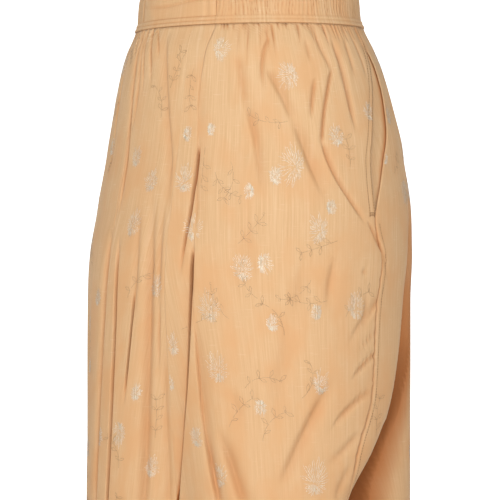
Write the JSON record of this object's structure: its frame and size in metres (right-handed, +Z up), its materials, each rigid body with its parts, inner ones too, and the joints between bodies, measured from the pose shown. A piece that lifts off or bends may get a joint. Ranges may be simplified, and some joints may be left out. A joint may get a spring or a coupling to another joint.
{
  "type": "pleated dhoti pants",
  "caption": "Worn-form pleated dhoti pants in peach cloth with a flat front band, gathered elastic waist, low draped seat, side pocket and narrow ankle cuffs.",
  "frame": {"origin": "centre of the waist opening, level with the top edge of the waistband", "axes": "+Z up towards the waist, -Y towards the wearer's front, +X towards the wearer's left"},
  "size_m": [0.3882, 0.3272, 0.95],
  "materials": {
    "body_cloth": "slub rayon with a soft sheen and pale foil flowers",
    "band_cloth": "slub rayon with a soft sheen",
    "facing_cloth": "slub rayon with a soft sheen"
  },
  "bodies": {
    "root": {"front_pleats_left": "body_cloth", "leg_front_left": "body_cloth", "back_left": "body_cloth", "front_pleats_right": "body_cloth", "leg_front_right": "body_cloth", "back_right": "body_cloth", "waistband_flat": "band_cloth", "waistband_elastic": "band_cloth", "pocket_facing_left": "facing_cloth", "cuff_left": "band_cloth", "cuff_right": "band_cloth"}
  },
  "joints": []
}
